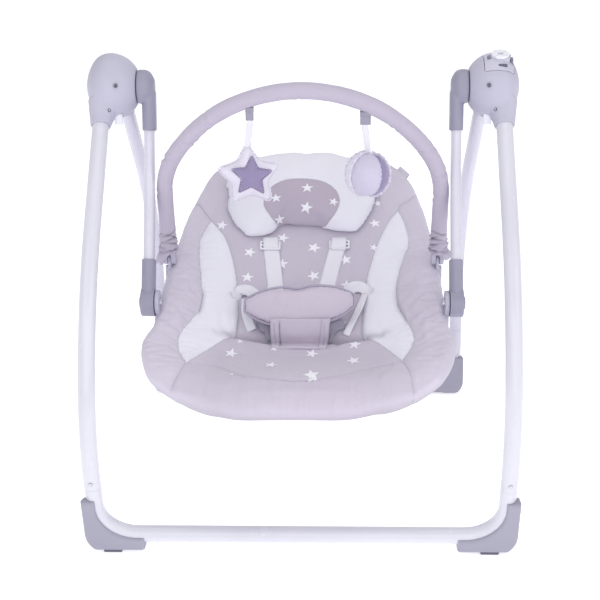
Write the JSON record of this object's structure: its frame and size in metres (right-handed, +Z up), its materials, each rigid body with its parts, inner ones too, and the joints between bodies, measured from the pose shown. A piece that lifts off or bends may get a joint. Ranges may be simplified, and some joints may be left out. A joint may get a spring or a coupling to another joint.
{
  "type": "baby swing",
  "caption": "Folding electric baby swing: two-legged tube stand, side housings, hung reclining padded seat with harness and a toy bar with two plush toys.",
  "frame": {"origin": "middle of the outline on the floor", "axes": "+Z up, front of the seat towards -Y, hub axis along X"},
  "size_m": [0.6652, 0.664, 0.7076],
  "materials": {
    "tube_white": "glossy powder coat",
    "grey_plastic": "fine satin texture",
    "dark_plastic": "satin",
    "white_plastic": "glossy",
    "rubber": "matt",
    "steel": "zinc plated",
    "copper": "enamelled wire",
    "board": "solder mask",
    "lens": "tinted",
    "grey_fabric": "plain weave",
    "white_fabric": "plain weave",
    "webbing": "woven webbing",
    "plush": "short pile plush"
  },
  "bodies": {
    "stand": {"front_leg_left": "tube_white", "front_leg_right": "tube_white", "front_base_tube": "tube_white", "front_corner_covers": "grey_plastic", "front_foot_pads": "rubber", "front_snap_pins": "steel", "housing_inner_left": "grey_plastic", "housing_outer_left": "grey_plastic", "housing_inner_right": "grey_plastic", "housing_outer_right": "grey_plastic", "housing_screws": "steel", "pivot_bushes": "white_plastic", "drive_coil": "copper", "circuit_board": "board", "speaker": "dark_plastic", "battery_cells": "steel", "battery_door": "grey_plastic", "supply_inlet": "dark_plastic", "control_panel": "grey_plastic", "indicator_window": "lens"},
    "rear_frame": {"rear_leg_left": "tube_white", "rear_leg_right": "tube_white", "rear_base_tube": "tube_white", "rear_corner_covers": "grey_plastic", "rear_foot_pads": "rubber", "rear_snap_pins": "steel", "leg_knuckles": "grey_plastic"},
    "swing": {"arm_hubs": "grey_plastic", "swing_arm_left": "tube_white", "swing_arm_right": "tube_white", "recline_joints": "grey_plastic", "recline_bolts": "steel", "pivot_shafts": "steel", "magnet_lever": "steel"},
    "seat": {"seat_back_tube": "steel", "seat_front_tube": "steel", "seat_brackets": "grey_plastic", "seat_cover": "grey_fabric", "head_pillow": "white_fabric", "shoulder_straps": "webbing", "strap_adjusters": "white_plastic", "waist_belts": "webbing", "waist_pad": "grey_fabric", "crotch_strap": "grey_fabric", "toy_bar_lugs": "grey_plastic"},
    "toy_bar": {"toy_bar_tube": "grey_plastic", "toy_bar_sleeve": "grey_fabric", "toy_bar_ends": "grey_plastic"},
    "star_toy": {"star_toy": "plush"},
    "ball_toy": {"ball_toy": "plush"},
    "speed_up_button": {"speed_up_button": "white_plastic"},
    "sound_button": {"sound_button": "white_plastic"},
    "speed_down_button": {"speed_down_button": "white_plastic"},
    "timer_button": {"timer_button": "white_plastic"},
    "power_button": {"power_button": "dark_plastic"},
    "volume_button": {"volume_button": "dark_plastic"},
    "fold_button_left": {"fold_button_left": "white_plastic"},
    "fold_button_right": {"fold_button_right": "white_plastic"},
    "recline_button_left": {"recline_button_left": "grey_plastic"},
    "recline_button_right": {"recline_button_right": "grey_plastic"}
  },
  "joints": [
    {"name": "rear_frame_fold", "type": "hinge", "parent": "stand", "child": "rear_frame", "pos_m": [0, 0.00998, 0.651], "axis": [1, 0, 0], "range_deg": [-42, 0]},
    {"name": "swing_pivot", "type": "hinge", "parent": "stand", "child": "swing", "pos_m": [0, 0.00998, 0.651], "axis": [1, 0, 0], "range_deg": [-15, 15]},
    {"name": "seat_recline", "type": "hinge", "parent": "swing", "child": "seat", "pos_m": [0, -0.11002, 0.34], "axis": [1, 0, 0], "range_deg": [0, 18]},
    {"name": "toy_bar_pivot", "type": "hinge", "parent": "seat", "child": "toy_bar", "pos_m": [0, -0.00202, 0.374], "axis": [1, 0, 0], "range_deg": [-30, 40]},
    {"name": "star_toy_swing", "type": "hinge", "parent": "toy_bar", "child": "star_toy", "pos_m": [-0.078, -0.06274, 0.63037], "axis": [1, 0, 0], "range_deg": [-30, 30]},
    {"name": "ball_toy_swing", "type": "hinge", "parent": "toy_bar", "child": "ball_toy", "pos_m": [0.096, -0.06117, 0.62327], "axis": [1, 0, 0], "range_deg": [-30, 30]},
    {"name": "speed_up_button_press", "type": "slide", "parent": "stand", "child": "speed_up_button", "axis": [0, 0.2419, -0.9703], "range_m": [0, 0.0012], "stiffness_N_per_m": 600},
    {"name": "sound_button_press", "type": "slide", "parent": "stand", "child": "sound_button", "axis": [0, 0.2419, -0.9703], "range_m": [0, 0.0012], "stiffness_N_per_m": 600},
    {"name": "speed_down_button_press", "type": "slide", "parent": "stand", "child": "speed_down_button", "axis": [0, 0.2419, -0.9703], "range_m": [0, 0.0012], "stiffness_N_per_m": 600},
    {"name": "timer_button_press", "type": "slide", "parent": "stand", "child": "timer_button", "axis": [0, 0.2419, -0.9703], "range_m": [0, 0.0012], "stiffness_N_per_m": 600},
    {"name": "power_button_press", "type": "slide", "parent": "stand", "child": "power_button", "axis": [0, 0.2419, -0.9703], "range_m": [0, 0.001], "stiffness_N_per_m": 600},
    {"name": "volume_button_press", "type": "slide", "parent": "stand", "child": "volume_button", "axis": [0, 0.2419, -0.9703], "range_m": [0, 0.001], "stiffness_N_per_m": 600},
    {"name": "fold_button_left_press", "type": "slide", "parent": "stand", "child": "fold_button_left", "axis": [0, 0, 1], "range_m": [0, 0.005], "stiffness_N_per_m": 500},
    {"name": "fold_button_right_press", "type": "slide", "parent": "stand", "child": "fold_button_right", "axis": [0, 0, 1], "range_m": [0, 0.005], "stiffness_N_per_m": 500},
    {"name": "recline_button_left_press", "type": "slide", "parent": "swing", "child": "recline_button_left", "axis": [1, 0, 0], "range_m": [0, 0.0025], "stiffness_N_per_m": 500},
    {"name": "recline_button_right_press", "type": "slide", "parent": "swing", "child": "recline_button_right", "axis": [-1, 0, 0], "range_m": [0, 0.0025], "stiffness_N_per_m": 500}
  ]
}
